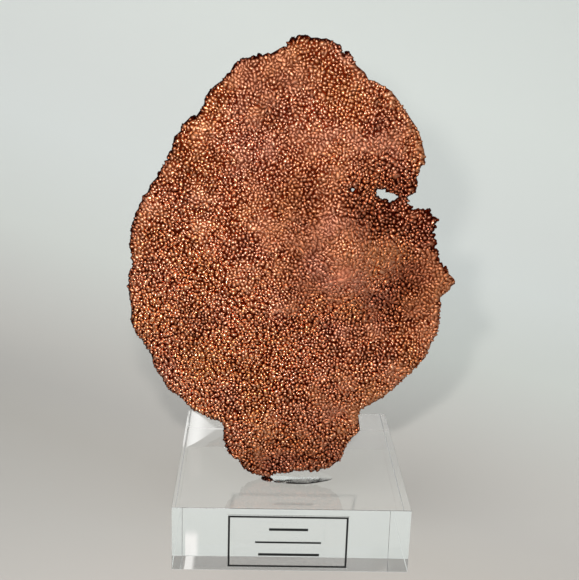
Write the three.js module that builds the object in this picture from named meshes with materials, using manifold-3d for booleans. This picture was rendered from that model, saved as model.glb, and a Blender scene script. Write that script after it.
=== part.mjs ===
// A thin upright sheet of native copper, bedded by its narrow foot in a blob of
// clear gel on a square clear block, with a clear film label on the block's front.
// Millimetres, +Z up, the front of the object towards -Y.
// The origin is the centre of the block's underside.
import * as THREE from 'three';
import { mergeVertices } from 'three/addons/utils/BufferGeometryUtils.js';
import Module from 'manifold-3d';

// ---------------------------------------------------------------- dimensions
const BLOCK_SIDE = 60;          // square block, left to right and front to back
const BLOCK_HEIGHT = 17.5;
const BLOCK_CHAMFER = 0.4;      // polished arris on every edge

const SHEET_Y = -12.9;          // plane of the sheet's rim, behind the block's middle of the front
const SHEET_HALF = 1.3;         // half thickness to the tips of the grains, away from the rim
const SHEET_HALF_RIM = 0.8;     // half thickness at the rim
const SHEET_TAPER = 4.5;        // the sheet thins over this distance from the rim
const SHEET_CENTRE = [-3.0, 74.0];   // x, z of the middle of the sheet
const SHEET_RADII = [41.0, 57.0];    // half width and half height of the shallow convex form
const SHEET_CROWN = 2.6;        // how far the middle stands in front of the rim
const SHEET_CELL = 2.8;         // facet size of the sheet's two faces

const PAD_CENTRE = [4.6, -13.2];     // x, y of the gel blob on top of the block
const PAD_RADII = [11.2, 3.9];       // half length and half width
const PAD_HEIGHT = 2.4;
const PAD_CLEARANCE = 0.35;     // between the gel and the copper bedded in it

const LABEL_WIDTH = 30.6;
const LABEL_HEIGHT = 14.8;
const LABEL_THICK = 0.15;
const LABEL_CENTRE = [-0.8, 8.4];    // x, z on the block's front face

// Low swells (+) and dips (-) of the sheet towards the viewer, in millimetres:
// x, z, spread in x, spread in z, height
const SWELLS = [
  [11.4, 79.3, 7.0, 8.5, 3.45],    // the dome right of the middle
  [11.2, 75.1, 1.3, 1.1, 0.5],    // the smooth nub on it
  [8.6, 89.7, 4.5, 6.5, 1.21],    // the ridge that runs up from the dome
  [23.5, 62.5, 6.5, 4.5, -2.29],    // the trough below and right of the dome
  [29.0, 75.5, 3.6, 7.0, -2.03],
  [21.0, 91.6, 8.0, 5.0, -2.47],    // the hollow round the hole
  [11.3, 60.2, 6.5, 4.0, -0.7],
  [-0.7, 118.6, 5.0, 3.5, -0.6],
  [-8.0, 107.3, 5.0, 4.0, -0.6],
  [-18.9, 100.4, 5.5, 6.0, -0.5],
  [-12.0, 118.7, 4.5, 3.5, 0.6],
  [-20.3, 62.3, 8.0, 8.5, 0.9],
  [1.4, 53.9, 7.0, 4.5, -0.8],
  [10.7, 103.5, 7.0, 5.0, 0.6],
  [34.2, 67.0, 3.0, 8.0, 0.9],    // the flange between the trough and the right rim
  [-2.1, 34.2, 7.0, 6.0, 0.5],
  [11.9, 30.6, 4.0, 5.0, -0.5],
];

// Rim of the sheet, x and z, anticlockwise seen from the front
const RIM = [
  [-2.6, 130.3], [-2.4, 131.2], [-3.0, 131.0], [-4.1, 129.6], [-4.2, 128.8], [-4.9, 128.9], [-7.9, 127.1], [-8.9, 127.2],
  [-9.8, 126.7], [-10.5, 127.2], [-11.2, 126.4], [-11.9, 126.7], [-12.8, 126.1], [-14.7, 125.9], [-14.9, 125.4], [-15.6, 125.2],
  [-16.4, 124.5], [-17.3, 122.6], [-17.9, 122.4], [-19.1, 120.7], [-20.8, 119.5], [-22.2, 118.1], [-23.3, 116.2], [-23.2, 115.5],
  [-23.7, 114.3], [-25.4, 111.9], [-25.9, 112.4], [-26.9, 111.6], [-28.8, 109.7], [-28.9, 108.5], [-30.4, 107.2], [-31.0, 103.9],
  [-31.6, 103.6], [-32.1, 102.2], [-32.0, 101.8], [-31.6, 101.7], [-32.6, 101.4], [-32.6, 100.7], [-33.6, 99.5], [-33.7, 98.7],
  [-34.3, 98.7], [-34.5, 98.2], [-34.4, 97.5], [-36.0, 95.7], [-36.9, 93.5], [-38.2, 92.4], [-38.2, 91.5], [-39.0, 90.4],
  [-39.1, 89.5], [-40.0, 88.2], [-40.1, 86.9], [-40.7, 85.9], [-40.9, 84.4], [-41.3, 83.9], [-40.9, 83.1], [-41.2, 82.6],
  [-41.2, 81.4], [-41.6, 80.3], [-40.9, 77.8], [-41.1, 77.0], [-40.5, 75.3], [-41.9, 72.6], [-41.6, 72.1], [-41.9, 71.3],
  [-41.6, 70.6], [-42.3, 69.5], [-41.6, 68.5], [-41.8, 67.7], [-41.2, 64.1], [-41.4, 60.3], [-40.3, 58.0], [-40.3, 57.4],
  [-39.0, 56.2], [-37.4, 53.3], [-36.8, 53.0], [-36.9, 52.2], [-36.3, 51.7], [-35.7, 48.7], [-34.6, 46.8], [-33.8, 46.0],
  [-32.9, 43.8], [-31.6, 41.9], [-29.8, 41.2], [-25.6, 36.8], [-21.2, 34.7], [-18.3, 33.7], [-17.7, 32.6], [-17.8, 28.5],
  [-17.2, 27.3], [-17.3, 26.4], [-16.7, 25.9], [-16.5, 24.8], [-14.9, 23.1], [-13.6, 22.8], [-12.8, 20.6], [-11.9, 20.1],
  [-11.4, 19.3], [-10.3, 19.2], [-10.1, 18.8], [-6.1, 17.6], [-5.5, 17.7], [-5.0, 18.4], [-3.7, 19.1], [-1.9, 19.0],
  [1.0, 19.8], [3.7, 19.9], [4.4, 20.2], [5.5, 19.6], [6.3, 20.1], [6.9, 19.6], [8.2, 20.4], [9.7, 20.5],
  [10.8, 21.1], [12.1, 22.4], [12.9, 22.7], [14.7, 28.0], [17.7, 31.9], [17.0, 36.3], [17.6, 37.9], [23.4, 41.4],
  [23.6, 42.0], [24.2, 42.3], [27.6, 45.6], [29.2, 47.6], [30.1, 48.1], [30.6, 49.2], [31.5, 49.7], [32.1, 50.9],
  [33.4, 52.2], [34.8, 56.4], [36.0, 58.8], [36.3, 60.5], [36.3, 65.6], [36.6, 66.7], [36.2, 67.2], [36.1, 68.5],
  [38.3, 70.5], [38.9, 71.6], [39.4, 71.8], [39.5, 73.1], [37.8, 74.7], [37.6, 75.7], [36.4, 76.3], [35.3, 77.5],
  [34.8, 78.5], [34.5, 80.6], [33.1, 81.0], [34.1, 82.3], [33.5, 83.6], [33.5, 84.6], [32.7, 84.8], [32.6, 85.1],
  [33.1, 85.3], [33.2, 85.8], [33.9, 86.3], [33.4, 87.3], [34.2, 88.4], [33.7, 88.7], [32.9, 88.4], [32.4, 89.4],
  [31.6, 89.6], [31.6, 90.0], [32.1, 90.5], [31.8, 90.8], [31.1, 90.3], [29.4, 90.7], [28.2, 90.1], [27.6, 90.6],
  [27.6, 91.1], [26.5, 92.1], [26.8, 92.9], [26.4, 93.6], [27.9, 94.9], [28.5, 96.5], [28.7, 97.5], [28.2, 98.7],
  [28.9, 100.2], [28.8, 101.2], [30.2, 102.5], [29.9, 103.0], [29.9, 104.2], [28.7, 108.2], [27.5, 110.8], [22.0, 118.0],
  [20.5, 119.5], [16.8, 121.5], [15.3, 121.8], [14.4, 123.4], [12.3, 125.0], [10.9, 127.5], [10.1, 128.2], [9.8, 128.1],
  [9.9, 127.4], [8.8, 127.9], [8.6, 129.3], [5.0, 131.0], [3.9, 130.8], [2.9, 131.1], [1.5, 131.0], [0.6, 131.6],
  [-1.7, 131.5],
];

// Irregular through hole beside the bay in the right rim
const HOLE = [
  [18.9, 95.7], [20.1, 95.5], [20.8, 95.7], [21.2, 95.4], [20.9, 94.8], [22.9, 94.9], [23.7, 94.0], [24.5, 93.8],
  [23.3, 92.7], [22.8, 92.7], [22.3, 92.2], [22.1, 92.2], [21.5, 92.6], [21.5, 93.1], [21.0, 93.2], [20.6, 92.8],
  [19.9, 93.1], [19.2, 93.9], [18.7, 93.8], [18.6, 95.1],
];

// Pinhole left of it: x, z, radius
const PINHOLE = [12.7, 95.7, 0.45];

// ------------------------------------------------------------------- helpers
const wasm = await Module();
wasm.setup();

// a closed geometry with merged corners and outward faces, as a solid
function solid(geometry) {
  const g = geometry.clone();
  g.deleteAttribute('normal');
  g.deleteAttribute('uv');
  const m = mergeVertices(g, 1e-4);
  const build = (tri) => new wasm.Manifold(new wasm.Mesh({
    numProp: 3,
    vertProperties: new Float32Array(m.attributes.position.array),
    triVerts: new Uint32Array(tri),
  }));
  const s = build(m.index.array);
  if (s.volume() > 0) return s;
  const flipped = [];
  for (let i = 0; i < m.index.count; i += 3) {
    flipped.push(m.index.getX(i), m.index.getX(i + 2), m.index.getX(i + 1));
  }
  return build(flipped);
}

function geometryOf(s) {
  const mesh = s.getMesh();
  const g = new THREE.BufferGeometry();
  g.setAttribute('position', new THREE.BufferAttribute(new Float32Array(mesh.vertProperties), 3));
  g.setIndex(new THREE.BufferAttribute(new Uint32Array(mesh.triVerts), 1));
  g.computeVertexNormals();
  return g;
}

// distance from a point to the rim's polyline
function rimDistance(x, z) {
  let best = Infinity;
  for (let i = 0; i < RIM.length; i++) {
    const [ax, az] = RIM[i];
    const [bx, bz] = RIM[(i + 1) % RIM.length];
    const dx = bx - ax, dz = bz - az;
    const t = Math.min(1, Math.max(0, ((x - ax) * dx + (z - az) * dz) / (dx * dx + dz * dz)));
    best = Math.min(best, Math.hypot(x - ax - t * dx, z - az - t * dz));
  }
  return best;
}

function insideRim(x, z) {
  let inside = false;
  for (let i = 0, j = RIM.length - 1; i < RIM.length; j = i++) {
    const [ax, az] = RIM[i];
    const [bx, bz] = RIM[j];
    if ((az > z) !== (bz > z) && x < ((bx - ax) * (z - az)) / (bz - az) + ax) inside = !inside;
  }
  return inside;
}

// y of the sheet's middle surface
function middle(x, z) {
  const r2 = ((x - SHEET_CENTRE[0]) / SHEET_RADII[0]) ** 2 + ((z - SHEET_CENTRE[1]) / SHEET_RADII[1]) ** 2;
  let out = SHEET_CROWN * Math.max(1 - r2, -0.25);
  for (const [a, c, sx, sz, h] of SWELLS) {
    out += h * Math.exp(-0.5 * (((x - a) / sx) ** 2 + ((z - c) / sz) ** 2));
  }
  return SHEET_Y - out;
}

function halfThickness(x, z) {
  if (!insideRim(x, z)) return SHEET_HALF_RIM;
  const t = Math.min(1, rimDistance(x, z) / SHEET_TAPER);
  const s = t * t * (3 - 2 * t);
  return SHEET_HALF_RIM + (SHEET_HALF - SHEET_HALF_RIM) * s;
}

// a slab bent to the middle surface over an x, z window, with some extra thickness
function bentSlab(x0, x1, z0, z1, extra) {
  const nx = Math.max(2, Math.round((x1 - x0) / SHEET_CELL));
  const nz = Math.max(2, Math.round((z1 - z0) / SHEET_CELL));
  const g = new THREE.BoxGeometry(x1 - x0, 2, z1 - z0, nx, 1, nz);
  g.translate((x0 + x1) / 2, 0, (z0 + z1) / 2);
  const p = g.attributes.position;
  for (let i = 0; i < p.count; i++) {
    const x = p.getX(i), z = p.getZ(i);
    const side = p.getY(i) > 0 ? 1 : -1;
    p.setY(i, middle(x, z) + side * (halfThickness(x, z) + extra));
  }
  return solid(g);
}

// an outline in x, z run through from front to back, shifted by dx, dz
function punch(outline, dx = 0, dz = 0, holes = []) {
  const shape = new THREE.Shape(outline.map(([x, z]) => new THREE.Vector2(x + dx, z + dz)));
  for (const hole of holes) {
    shape.holes.push(new THREE.Path(hole.map(([x, z]) => new THREE.Vector2(x + dx, z + dz))));
  }
  const g = new THREE.ExtrudeGeometry(shape, { depth: 40, bevelEnabled: false, steps: 1 });
  g.rotateX(Math.PI / 2);        // outline's y becomes z, the depth runs towards -Y
  g.translate(0, 8, 0);
  return solid(g);
}

function mesh(name, geometry, color, roughness, metalness, extra = {}) {
  const m = new THREE.Mesh(geometry, new THREE.MeshStandardMaterial({ color, roughness, metalness, ...extra }));
  m.name = name;
  return m;
}

// -------------------------------------------------------------------- pieces
const object = new THREE.Group();

// clear block, chamfered on all twelve edges
{
  const c = BLOCK_CHAMFER;
  const h = BLOCK_SIDE / 2 - c;
  const k = c * 0.6;
  const s = new THREE.Shape([
    [-h + k, -h], [h - k, -h], [h, -h + k], [h, h - k],
    [h - k, h], [-h + k, h], [-h, h - k], [-h, -h + k],
  ].map(([x, y]) => new THREE.Vector2(x, y)));
  const g = new THREE.ExtrudeGeometry(s, {
    depth: BLOCK_HEIGHT - 2 * c, steps: 1, bevelEnabled: true, bevelSegments: 1, bevelSize: c, bevelThickness: c,
  });
  g.translate(0, 0, c);
  object.add(mesh('base_block', geometryOf(solid(g)), 0xe8eeee, 0.05, 0, { transparent: true, opacity: 0.35 }));
}

// copper sheet: the bent slab, cut to the rim, with its two openings
{
  const pin = [];
  for (let i = 0; i < 8; i++) {
    const a = (i / 8) * 2 * Math.PI;
    pin.push([PINHOLE[0] + PINHOLE[2] * Math.cos(a), PINHOLE[1] + PINHOLE[2] * Math.sin(a)]);
  }
  const xs = RIM.map((p) => p[0]), zs = RIM.map((p) => p[1]);
  const slab = bentSlab(Math.min(...xs) - 1.5, Math.max(...xs) + 1.5, Math.min(...zs) - 1.5, Math.max(...zs) + 1.5, 0);
  const sheet = slab.intersect(punch(RIM, 0, 0, [HOLE, pin.reverse()]));
  object.add(mesh('copper_sheet', geometryOf(sheet), 0xa6552f, 0.4, 0.9));
}

// clear gel: a low dome under the foot, with the bed that the foot sits in
{
  const profile = [new THREE.Vector2(0, 0)];
  const n = 7;
  for (let i = 0; i <= n; i++) {
    const a = (i / n) * (Math.PI / 2);
    profile.push(new THREE.Vector2(i === n ? 0 : Math.cos(a), Math.sin(a)));
  }
  const g = new THREE.LatheGeometry(profile, 36);
  g.rotateX(Math.PI / 2);
  g.scale(PAD_RADII[0], PAD_RADII[1], PAD_HEIGHT);
  g.translate(PAD_CENTRE[0], PAD_CENTRE[1], BLOCK_HEIGHT);
  const c = PAD_CLEARANCE;
  const bed = bentSlab(-14, 20, 12, 24, c);
  const foot = punch(RIM, 0, -c).add(punch(RIM, -c, 0)).add(punch(RIM, c, 0));
  const pad = solid(g).subtract(bed.intersect(foot));
  object.add(mesh('gel_pad', geometryOf(pad), 0xf2f4f2, 0.2, 0, { transparent: true, opacity: 0.4 }));
}

// clear film with the label's border, flat on the block's front face
{
  const g = new THREE.BoxGeometry(LABEL_WIDTH, LABEL_THICK, LABEL_HEIGHT);
  g.translate(LABEL_CENTRE[0], -BLOCK_SIDE / 2 - LABEL_THICK / 2, LABEL_CENTRE[1]);
  object.add(mesh('label_film', g, 0xf0f2f2, 0.3, 0, { transparent: true, opacity: 0.5 }));
}

export default object;
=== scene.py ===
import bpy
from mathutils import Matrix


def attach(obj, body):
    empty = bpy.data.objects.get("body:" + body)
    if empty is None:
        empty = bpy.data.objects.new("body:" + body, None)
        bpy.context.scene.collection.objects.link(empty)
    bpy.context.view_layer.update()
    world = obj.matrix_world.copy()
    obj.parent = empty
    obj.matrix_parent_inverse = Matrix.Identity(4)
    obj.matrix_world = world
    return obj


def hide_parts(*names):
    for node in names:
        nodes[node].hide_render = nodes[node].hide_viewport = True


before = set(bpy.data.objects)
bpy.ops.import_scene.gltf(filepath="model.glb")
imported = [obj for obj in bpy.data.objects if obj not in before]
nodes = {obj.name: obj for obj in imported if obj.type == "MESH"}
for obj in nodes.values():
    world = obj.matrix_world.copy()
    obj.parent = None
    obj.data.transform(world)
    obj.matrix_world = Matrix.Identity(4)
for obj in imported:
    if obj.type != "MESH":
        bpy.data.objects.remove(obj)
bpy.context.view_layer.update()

import math

import bpy
import numpy as np
from mathutils import Matrix, Vector, kdtree
from mathutils.geometry import delaunay_2d_cdt

MM = 0.001

# ------------------------------------------------------------------ dimensions
# The same frame as the solids: +Z up, front towards -Y, origin at the middle of
# the block's underside. Lengths are in millimetres until a mesh is made.
BLOCK_SIDE, BLOCK_HEIGHT, BLOCK_CHAMFER = 60.0, 17.5, 0.4
SHEET_Y = -12.9
SHEET_CENTRE = (-3.0, 74.0)
SHEET_RADII = (41.0, 57.0)
SHEET_CROWN = 2.6

# x, z, spread in x, spread in z, height towards the viewer
SWELLS = [
    (11.4, 79.3, 7, 8.5, 3.45),
    (11.2, 75.1, 1.3, 1.1, 0.5),
    (8.6, 89.7, 4.5, 6.5, 1.21),
    (23.5, 62.5, 6.5, 4.5, -2.29),
    (29, 75.5, 3.6, 7, -2.03),
    (21, 91.6, 8, 5, -2.47),
    (11.3, 60.2, 6.5, 4, -0.7),
    (-0.7, 118.6, 5, 3.5, -0.6),
    (-8, 107.3, 5, 4, -0.6),
    (-18.9, 100.4, 5.5, 6, -0.5),
    (-12, 118.7, 4.5, 3.5, 0.6),
    (-20.3, 62.3, 8, 8.5, 0.9),
    (1.4, 53.9, 7, 4.5, -0.8),
    (10.7, 103.5, 7, 5, 0.6),
    (34.2, 67, 3, 8, 0.9),
    (-2.1, 34.2, 7, 6, 0.5),
    (11.9, 30.6, 4, 5, -0.5),
]

RIM = np.array([
  [-2.6, 130.3], [-2.4, 131.2], [-3.0, 131.0], [-4.1, 129.6], [-4.2, 128.8], [-4.9, 128.9], [-7.9, 127.1], [-8.9, 127.2],
  [-9.8, 126.7], [-10.5, 127.2], [-11.2, 126.4], [-11.9, 126.7], [-12.8, 126.1], [-14.7, 125.9], [-14.9, 125.4], [-15.6, 125.2],
  [-16.4, 124.5], [-17.3, 122.6], [-17.9, 122.4], [-19.1, 120.7], [-20.8, 119.5], [-22.2, 118.1], [-23.3, 116.2], [-23.2, 115.5],
  [-23.7, 114.3], [-25.4, 111.9], [-25.9, 112.4], [-26.9, 111.6], [-28.8, 109.7], [-28.9, 108.5], [-30.4, 107.2], [-31.0, 103.9],
  [-31.6, 103.6], [-32.1, 102.2], [-32.0, 101.8], [-31.6, 101.7], [-32.6, 101.4], [-32.6, 100.7], [-33.6, 99.5], [-33.7, 98.7],
  [-34.3, 98.7], [-34.5, 98.2], [-34.4, 97.5], [-36.0, 95.7], [-36.9, 93.5], [-38.2, 92.4], [-38.2, 91.5], [-39.0, 90.4],
  [-39.1, 89.5], [-40.0, 88.2], [-40.1, 86.9], [-40.7, 85.9], [-40.9, 84.4], [-41.3, 83.9], [-40.9, 83.1], [-41.2, 82.6],
  [-41.2, 81.4], [-41.6, 80.3], [-40.9, 77.8], [-41.1, 77.0], [-40.5, 75.3], [-41.9, 72.6], [-41.6, 72.1], [-41.9, 71.3],
  [-41.6, 70.6], [-42.3, 69.5], [-41.6, 68.5], [-41.8, 67.7], [-41.2, 64.1], [-41.4, 60.3], [-40.3, 58.0], [-40.3, 57.4],
  [-39.0, 56.2], [-37.4, 53.3], [-36.8, 53.0], [-36.9, 52.2], [-36.3, 51.7], [-35.7, 48.7], [-34.6, 46.8], [-33.8, 46.0],
  [-32.9, 43.8], [-31.6, 41.9], [-29.8, 41.2], [-25.6, 36.8], [-21.2, 34.7], [-18.3, 33.7], [-17.7, 32.6], [-17.8, 28.5],
  [-17.2, 27.3], [-17.3, 26.4], [-16.7, 25.9], [-16.5, 24.8], [-14.9, 23.1], [-13.6, 22.8], [-12.8, 20.6], [-11.9, 20.1],
  [-11.4, 19.3], [-10.3, 19.2], [-10.1, 18.8], [-6.1, 17.6], [-5.5, 17.7], [-5.0, 18.4], [-3.7, 19.1], [-1.9, 19.0],
  [1.0, 19.8], [3.7, 19.9], [4.4, 20.2], [5.5, 19.6], [6.3, 20.1], [6.9, 19.6], [8.2, 20.4], [9.7, 20.5],
  [10.8, 21.1], [12.1, 22.4], [12.9, 22.7], [14.7, 28.0], [17.7, 31.9], [17.0, 36.3], [17.6, 37.9], [23.4, 41.4],
  [23.6, 42.0], [24.2, 42.3], [27.6, 45.6], [29.2, 47.6], [30.1, 48.1], [30.6, 49.2], [31.5, 49.7], [32.1, 50.9],
  [33.4, 52.2], [34.8, 56.4], [36.0, 58.8], [36.3, 60.5], [36.3, 65.6], [36.6, 66.7], [36.2, 67.2], [36.1, 68.5],
  [38.3, 70.5], [38.9, 71.6], [39.4, 71.8], [39.5, 73.1], [37.8, 74.7], [37.6, 75.7], [36.4, 76.3], [35.3, 77.5],
  [34.8, 78.5], [34.5, 80.6], [33.1, 81.0], [34.1, 82.3], [33.5, 83.6], [33.5, 84.6], [32.7, 84.8], [32.6, 85.1],
  [33.1, 85.3], [33.2, 85.8], [33.9, 86.3], [33.4, 87.3], [34.2, 88.4], [33.7, 88.7], [32.9, 88.4], [32.4, 89.4],
  [31.6, 89.6], [31.6, 90.0], [32.1, 90.5], [31.8, 90.8], [31.1, 90.3], [29.4, 90.7], [28.2, 90.1], [27.6, 90.6],
  [27.6, 91.1], [26.5, 92.1], [26.8, 92.9], [26.4, 93.6], [27.9, 94.9], [28.5, 96.5], [28.7, 97.5], [28.2, 98.7],
  [28.9, 100.2], [28.8, 101.2], [30.2, 102.5], [29.9, 103.0], [29.9, 104.2], [28.7, 108.2], [27.5, 110.8], [22.0, 118.0],
  [20.5, 119.5], [16.8, 121.5], [15.3, 121.8], [14.4, 123.4], [12.3, 125.0], [10.9, 127.5], [10.1, 128.2], [9.8, 128.1],
  [9.9, 127.4], [8.8, 127.9], [8.6, 129.3], [5.0, 131.0], [3.9, 130.8], [2.9, 131.1], [1.5, 131.0], [0.6, 131.6],
  [-1.7, 131.5],
])

HOLE = np.array([
  [18.9, 95.7], [20.1, 95.5], [20.8, 95.7], [21.2, 95.4], [20.9, 94.8], [22.9, 94.9], [23.7, 94.0], [24.5, 93.8],
  [23.3, 92.7], [22.8, 92.7], [22.3, 92.2], [22.1, 92.2], [21.5, 92.6], [21.5, 93.1], [21.0, 93.2], [20.6, 92.8],
  [19.9, 93.1], [19.2, 93.9], [18.7, 93.8], [18.6, 95.1],
])
PINHOLE = (12.7, 95.7, 0.45)

rng = np.random.default_rng(20)


# --------------------------------------------------------------------- helpers
def smooth(t):
    t = np.clip(t, 0.0, 1.0)
    return t * t * (3 - 2 * t)


def blob(x, z, cx, cz, sx, sz):
    return np.exp(-0.5 * (((x - cx) / sx) ** 2 + ((z - cz) / sz) ** 2))


class Noise:
    """Smooth value noise in x, z from a seeded lattice, about -1 to 1."""

    def __init__(self, seed, cell):
        self.table = np.random.default_rng(seed).uniform(-1, 1, (64, 64))
        self.cell = cell

    def __call__(self, x, z):
        u, v = x / self.cell + 31.3, z / self.cell + 7.7
        i, j = np.floor(u).astype(int), np.floor(v).astype(int)
        fu, fv = smooth(u - i), smooth(v - j)
        t = self.table
        a = t[i % 64, j % 64] * (1 - fu) + t[(i + 1) % 64, j % 64] * fu
        b = t[i % 64, (j + 1) % 64] * (1 - fu) + t[(i + 1) % 64, (j + 1) % 64] * fu
        return a * (1 - fv) + b * fv


rough_a, rough_b, rough_c = Noise(1, 9.0), Noise(2, 4.0), Noise(3, 1.7)
size_a, size_b = Noise(4, 11.0), Noise(5, 5.0)
tone_a, tone_b = Noise(6, 12.0), Noise(7, 5.0)
patch_a, patch_b = Noise(8, 3.4), Noise(9, 1.8)


def to_segments(x, z, loop):
    """Distance from each point to a closed polyline."""
    a, b = loop, np.roll(loop, -1, axis=0)
    d = b - a
    dd = (d ** 2).sum(1)
    best = np.full(len(x), 1e9)
    for k in range(len(a)):
        t = np.clip(((x - a[k, 0]) * d[k, 0] + (z - a[k, 1]) * d[k, 1]) / dd[k], 0, 1)
        best = np.minimum(best, np.hypot(x - a[k, 0] - t * d[k, 0], z - a[k, 1] - t * d[k, 1]))
    return best


def inside(x, z, loop):
    a, b = loop, np.roll(loop, 1, axis=0)
    odd = np.zeros(len(x), bool)
    for k in range(len(a)):
        crosses = (a[k, 1] > z) != (b[k, 1] > z)
        if a[k, 1] != b[k, 1]:
            at = (b[k, 0] - a[k, 0]) * (z - a[k, 1]) / (b[k, 1] - a[k, 1]) + a[k, 0]
            odd ^= crosses & (x < at)
    return odd


def pin_loop(r=PINHOLE[2], n=9):
    a = np.arange(n) / n * 2 * np.pi
    wobble = 1 + 0.18 * np.sin(3 * a + 0.7)
    return np.stack([PINHOLE[0] + r * wobble * np.cos(a), PINHOLE[1] + r * wobble * np.sin(a)], 1)


PIN = pin_loop()


def edge_distance(x, z):
    """Distance inwards from the rim and from both holes."""
    return np.minimum(np.minimum(to_segments(x, z, RIM), to_segments(x, z, HOLE)), to_segments(x, z, PIN))


def on_sheet(x, z):
    return inside(x, z, RIM) & ~inside(x, z, HOLE) & ~inside(x, z, PIN)


def middle(x, z):
    """y of the sheet's middle surface."""
    r2 = ((x - SHEET_CENTRE[0]) / SHEET_RADII[0]) ** 2 + ((z - SHEET_CENTRE[1]) / SHEET_RADII[1]) ** 2
    out = SHEET_CROWN * np.maximum(1 - r2, -0.25)
    for a, c, sx, sz, h in SWELLS:
        out = out + h * blob(x, z, a, c, sx, sz)
    return SHEET_Y - out


# x, z, spread in x, spread in z, how much likelier grains have grown together
FUSED = [
    (31.5, 62.0, 3.0, 7.0, 0.60),
    (25.0, 48.0, 4.5, 5.0, 0.50),
    (24.0, 107.0, 6.0, 7.0, 0.45),
    (-37.0, 91.5, 1.3, 5.0, 0.85),
    (-40.0, 79.0, 1.2, 5.0, 0.85),
    (-40.8, 66.0, 1.2, 6.0, 0.65),
    (-9.5, 122.5, 5.0, 4.0, 1.00),
    (4.0, 124.5, 5.0, 4.0, 0.80),
    (-0.6, 106.6, 5.0, 3.0, 0.65),
    (13.5, 107.4, 6.5, 3.5, 0.85),
    (-15.0, 89.5, 7.0, 5.0, 0.45),
    (6.4, 92.0, 3.0, 6.0, 0.65),
    (12.0, 79.0, 8.5, 8.0, 0.80),
    (20.5, 76.6, 6.0, 5.0, 0.60),
    (-2.4, 74.0, 6.0, 8.0, 0.35),
    (7.7, 38.2, 5.0, 4.5, 0.80),
    (34.0, 72.0, 4.0, 6.0, 0.50),
    (-28.0, 70.0, 9.0, 18.0, -0.55),
    (-18.0, 50.0, 12.0, 11.0, -0.60),
    (3.0, 50.0, 8.0, 8.0, -0.45),
    (23.0, 93.0, 6.0, 5.0, -0.60),
    (7.0, 116.0, 6.0, 3.5, -0.45),
]


def fused(x, z):
    """Share of the crust, 0 to 1, whose grains have grown together into smooth patches."""
    s = 0.85 * patch_a(x, z) + 0.62 * patch_b(x, z) - 0.50
    for a, c, sx, sz, h in FUSED:
        s = s + 0.85 * h * blob(x, z, a, c, sx, sz)
    return smooth(0.8 * s + 0.5)


def relief(x, z):
    """How deep the grains stand apart: about 1 usually, low where the crust is smooth."""
    r = 0.95 + 0.14 * size_a(x, z)
    r = r - 0.40 * blob(x, z, 11.4, 80.5, 6.2, 8.0)
    r = r - 0.30 * blob(x, z, 7.5, 91.0, 3.4, 5.5)
    r = r - 0.60 * blob(x, z, 11.2, 75.1, 1.9, 1.5)
    r = r - 0.25 * blob(x, z, -9.5, 119.6, 4.4, 3.2)
    r = r - 0.35 * blob(x, z, 33.5, 67.0, 2.8, 8.0)
    r = r + 0.40 * blob(x, z, 20.5, 92.5, 8.0, 5.0)
    r = r + 0.40 * blob(x, z, 24.5, 64.0, 7.0, 6.0)
    r = r + 0.20 * blob(x, z, -1.0, 51.0, 9.0, 7.0)
    r = r - 0.25 * smooth(1 - edge_distance(x, z) / 2.2)
    r = 0.06 + r * (1.05 - 0.78 * fused(x, z))
    return np.clip(r, 0.12, 1.3)


# painted shade, darkest in the valley right of the dome: x, z, spread in x, spread in z, how much darker
SHADED = [
    (22.0, 97.8, 5.5, 2.6, 0.26),
    (21.0, 89.5, 6.0, 4.5, 0.30),
    (32.0, 85.5, 3.2, 6.5, 0.28),
    (28.0, 74.0, 3.6, 3.2, 0.26),
    (26.0, 66.5, 5.5, 5.5, 0.20),
    (2.0, 91.5, 3.6, 5.5, 0.20),
    (0.5, 68.5, 4.5, 7.0, 0.18),
    (-12.0, 100.0, 6.0, 5.0, 0.08),
    (-9.5, 119.6, 6.0, 5.0, 0.08),
    (4.0, 49.0, 9.0, 7.0, 0.08),
    (3.0, 126.0, 12.0, 8.0, 0.07),
]


def shade(x, z):
    """Painted shade, from 0 to 1: darker patches, most in the valley right of the dome, darker towards the bottom, with
    a little random tone.
    """
    s = 1.0 - 0.16 * smooth((36 - z) / 14) + 0.05 * tone_a(x, z)
    for a, c, sx, sz, h in SHADED:
        s = s - h * blob(x, z, a, c, sx, sz)
    return np.clip(s, 0.25, 1.0)


def rim_shade(x, z):
    """The outermost grains of the left and upper rim turn away from the light."""
    near = 1 - smooth(edge_distance(x, z) / 0.85)
    return 1 - 0.62 * near * smooth((16 - x) / 14)


def dullness(x, z):
    """Where the grains glint least, 0 to 1."""
    d = 0.26 + 0.10 * tone_b(x, z) + 0.52 * fused(x, z)
    for a, c, sx, sz, h in (
        (-27.0, 70.0, 10.0, 22.0, -0.28),
        (-20.0, 48.0, 14.0, 12.0, -0.75),
        (10.5, 84.0, 8.0, 11.0, 0.28),
        (33.5, 67.0, 4.5, 11.0, 0.22),
        (-3.0, 96.0, 8.0, 8.0, 0.20),
        (2.0, 78.0, 7.0, 9.0, 0.15),
        (-6.0, 119.0, 12.0, 8.0, 0.12),
        (-9.5, 119.6, 5.0, 4.0, 0.10),
        (20.0, 110.0, 12.0, 8.0, 0.08),
    ):
        d = d + h * blob(x, z, a, c, sx, sz)
    return np.clip(d, 0, 1)


def core_half(x, z, edge):
    """Half thickness of the crust under the grains."""
    return 0.22 + 0.40 * np.sqrt(np.clip(edge / 1.6, 0, 1)) + 0.05 * rough_c(x, z)


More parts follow.
